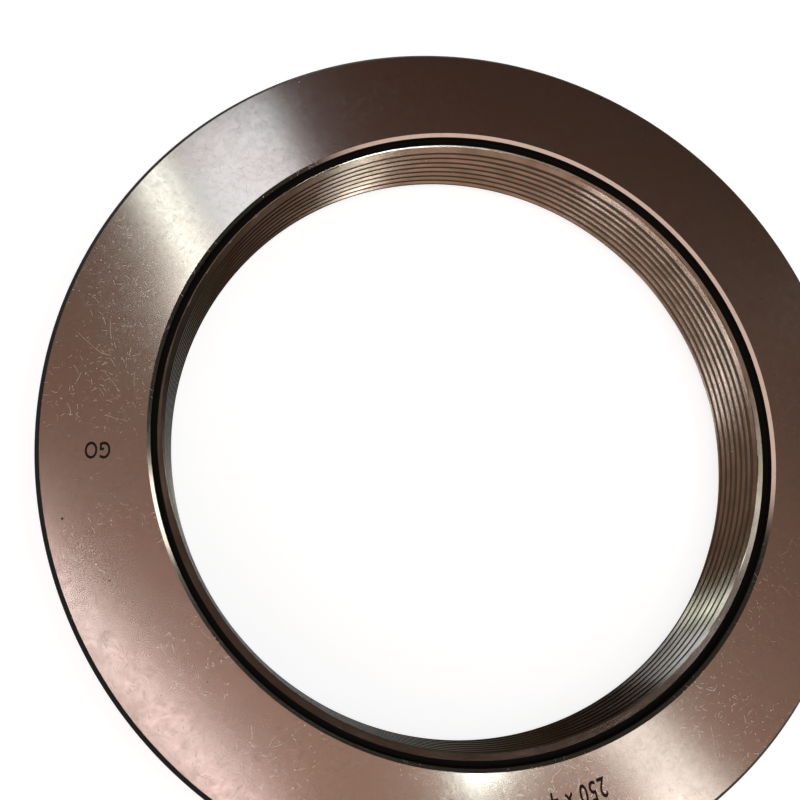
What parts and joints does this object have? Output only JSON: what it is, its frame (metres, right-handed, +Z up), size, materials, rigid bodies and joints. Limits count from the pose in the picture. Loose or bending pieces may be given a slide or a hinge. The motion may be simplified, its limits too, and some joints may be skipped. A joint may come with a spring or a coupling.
{
  "type": "thread ring gauge",
  "caption": "Thick flat steel ring with a right-hand internal thread between two stepped recesses, screwed over an external thread to check it.",
  "frame": {"origin": "middle of the lower face, on the thread axis", "axes": "+Z up along the thread axis, towards the marked upper face; +X and +Y are radial"},
  "size_m": [0.336, 0.336, 0.04],
  "materials": {
    "lapped_steel": "finely lapped bare tool steel, lightly scratched from use",
    "ground_thread": "ground bare steel thread flanks with a trace of oil",
    "blackened_steel": "black oxide on the rim, its chamfers and the recesses",
    "engraving": "etched dark numbers and letters"
  },
  "bodies": {
    "root": {"gauge_ring": "lapped_steel"}
  },
  "joints": []
}
